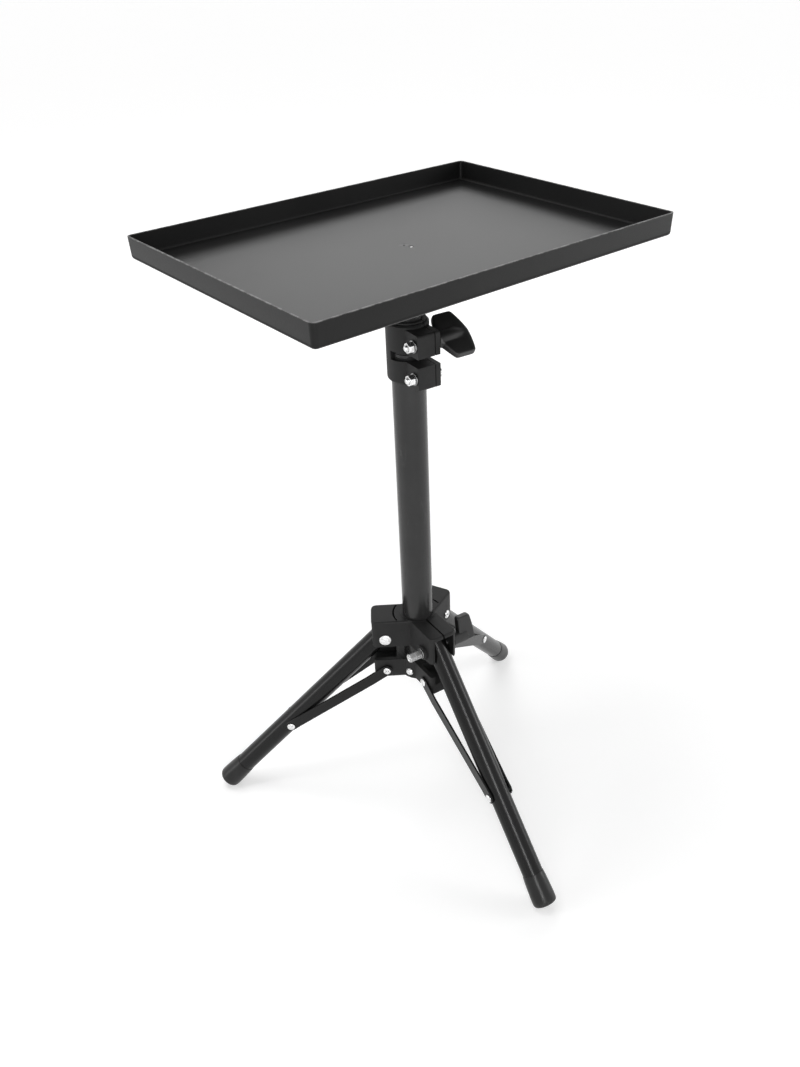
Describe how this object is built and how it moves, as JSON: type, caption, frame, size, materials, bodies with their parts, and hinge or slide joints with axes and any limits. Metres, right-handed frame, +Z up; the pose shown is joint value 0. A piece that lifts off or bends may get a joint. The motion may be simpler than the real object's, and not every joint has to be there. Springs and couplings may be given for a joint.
{
  "type": "laptop_tripod_stand",
  "caption": "Tripod laptop stand: folding three-leg base with sliding crown and clamp, telescopic column, collar clamp and shallow black sheet-metal tray.",
  "frame": {"origin": "column axis, on the flat underside of the column's foot plug, where the column meets the ground when the stand is folded", "axes": "+Z up the column; +X along the long side of the tray"},
  "size_m": [0.4211, 0.3909, 0.6618],
  "materials": {
    "black_enamel": "satin powder coat",
    "column_satin": "satin dark grey coat",
    "leg_gloss": "gloss black coat",
    "moulded_black": "fine matte moulding",
    "knob_black": "smooth black moulding",
    "bare_steel": "zinc-plated",
    "foot_rubber": "matte"
  },
  "bodies": {
    "column": {"outer_tube": "column_satin", "column_foot_plug": "moulded_black", "lower_spider": "moulded_black", "spider_rivet_1": "bare_steel", "spider_rivet_2": "bare_steel", "spider_rivet_3": "bare_steel", "spider_pivot_rivet_front": "bare_steel", "spider_pivot_rivet_back": "bare_steel", "spider_pivot_rivet_left": "bare_steel", "collar_clamp": "moulded_black", "collar_bolt": "bare_steel", "collar_nut_lower": "bare_steel", "collar_nut_upper": "bare_steel", "collar_washer_lower": "bare_steel", "collar_washer_upper": "bare_steel", "clamp_sleeve": "moulded_black"},
    "collar_knob": {"clamp_bolt": "bare_steel", "clamp_knob": "knob_black"},
    "crown": {"upper_crown": "moulded_black", "crown_nut": "bare_steel", "crown_washer": "bare_steel", "leg_rivet_back": "bare_steel", "leg_rivet_left": "bare_steel"},
    "crown_lever": {"crown_bolt": "bare_steel", "crown_knob": "knob_black"},
    "post": {"post_guide": "moulded_black"},
    "head": {"inner_post": "column_satin", "post_head": "moulded_black", "key_pin": "bare_steel", "tray": "black_enamel", "tray_screw": "knob_black"},
    "leg_front": {"leg_tube_front": "leg_gloss", "leg_plug_front": "moulded_black", "foot_cap_front": "foot_rubber", "leg_cross_pin_front": "bare_steel"},
    "brace_front": {"brace_bar_front_a": "leg_gloss", "brace_bar_front_b": "leg_gloss", "brace_rivet_front_a": "bare_steel", "brace_rivet_front_b": "bare_steel"},
    "leg_back": {"leg_tube_back": "leg_gloss", "leg_plug_back": "moulded_black", "foot_cap_back": "foot_rubber", "leg_cross_pin_back": "bare_steel"},
    "brace_back": {"brace_bar_back_a": "leg_gloss", "brace_bar_back_b": "leg_gloss", "brace_rivet_back_a": "bare_steel", "brace_rivet_back_b": "bare_steel"},
    "leg_left": {"leg_tube_left": "leg_gloss", "leg_plug_left": "moulded_black", "foot_cap_left": "foot_rubber", "leg_cross_pin_left": "bare_steel"},
    "brace_left": {"brace_bar_left_a": "leg_gloss", "brace_bar_left_b": "leg_gloss", "brace_rivet_left_a": "bare_steel", "brace_rivet_left_b": "bare_steel"}
  },
  "joints": [
    {"name": "collar_knob_turn", "type": "hinge", "parent": "column", "child": "collar_knob", "pos_m": [-0.0034, -0.0294, 0.396], "axis": [0.9934, -0.1149, 0], "continuous": true},
    {"name": "crown_slide", "type": "slide", "parent": "column", "child": "crown", "axis": [0, 0, 1], "range_m": [0, 0.263]},
    {"name": "crown_lever_turn", "type": "hinge", "parent": "crown", "child": "crown_lever", "pos_m": [-0.00419, -0.03626, 0.0532], "axis": [0.9934, -0.1149, 0], "continuous": true},
    {"name": "post_slide", "type": "slide", "parent": "column", "child": "post", "axis": [0, 0, 1], "range_m": [-0.0225, 0.26]},
    {"name": "head_swivel", "type": "hinge", "parent": "post", "child": "head", "pos_m": [0, 0, 0.4352], "axis": [0, 0, 1], "continuous": true},
    {"name": "leg_front_hinge", "type": "hinge", "parent": "crown", "child": "leg_front", "pos_m": [-0.00419, -0.03626, 0.0532], "axis": [0.9934, -0.1149, 0], "range_deg": [0, 37.18]},
    {"name": "brace_front_hinge", "type": "hinge", "parent": "column", "child": "brace_front", "pos_m": [-0.00419, -0.03626, 0.0116], "axis": [0.9934, -0.1149, 0], "range_deg": [-118.29, 0]},
    {"name": "leg_back_hinge", "type": "hinge", "parent": "crown", "child": "leg_back", "pos_m": [0.0335, 0.0145, 0.0532], "axis": [-0.3971, 0.9178, 0], "range_deg": [0, 37.18]},
    {"name": "brace_back_hinge", "type": "hinge", "parent": "column", "child": "brace_back", "pos_m": [0.0335, 0.0145, 0.0116], "axis": [-0.3971, 0.9178, 0], "range_deg": [-118.29, 0]},
    {"name": "leg_left_hinge", "type": "hinge", "parent": "crown", "child": "leg_left", "pos_m": [-0.0293, 0.02176, 0.0532], "axis": [-0.5962, -0.8028, 0], "range_deg": [0, 37.18]},
    {"name": "brace_left_hinge", "type": "hinge", "parent": "column", "child": "brace_left", "pos_m": [-0.0293, 0.02176, 0.0116], "axis": [-0.5962, -0.8028, 0], "range_deg": [-118.29, 0]}
  ],
  "couplings": [
    {"joint": "leg_front_hinge", "follows": "crown_slide", "rad_per_m": 2.4674},
    {"joint": "brace_front_hinge", "follows": "crown_slide", "rad_per_m": -7.8502},
    {"joint": "leg_back_hinge", "follows": "crown_slide", "rad_per_m": 2.4674},
    {"joint": "brace_back_hinge", "follows": "crown_slide", "rad_per_m": -7.8502},
    {"joint": "leg_left_hinge", "follows": "crown_slide", "rad_per_m": 2.4674},
    {"joint": "brace_left_hinge", "follows": "crown_slide", "rad_per_m": -7.8502}
  ]
}
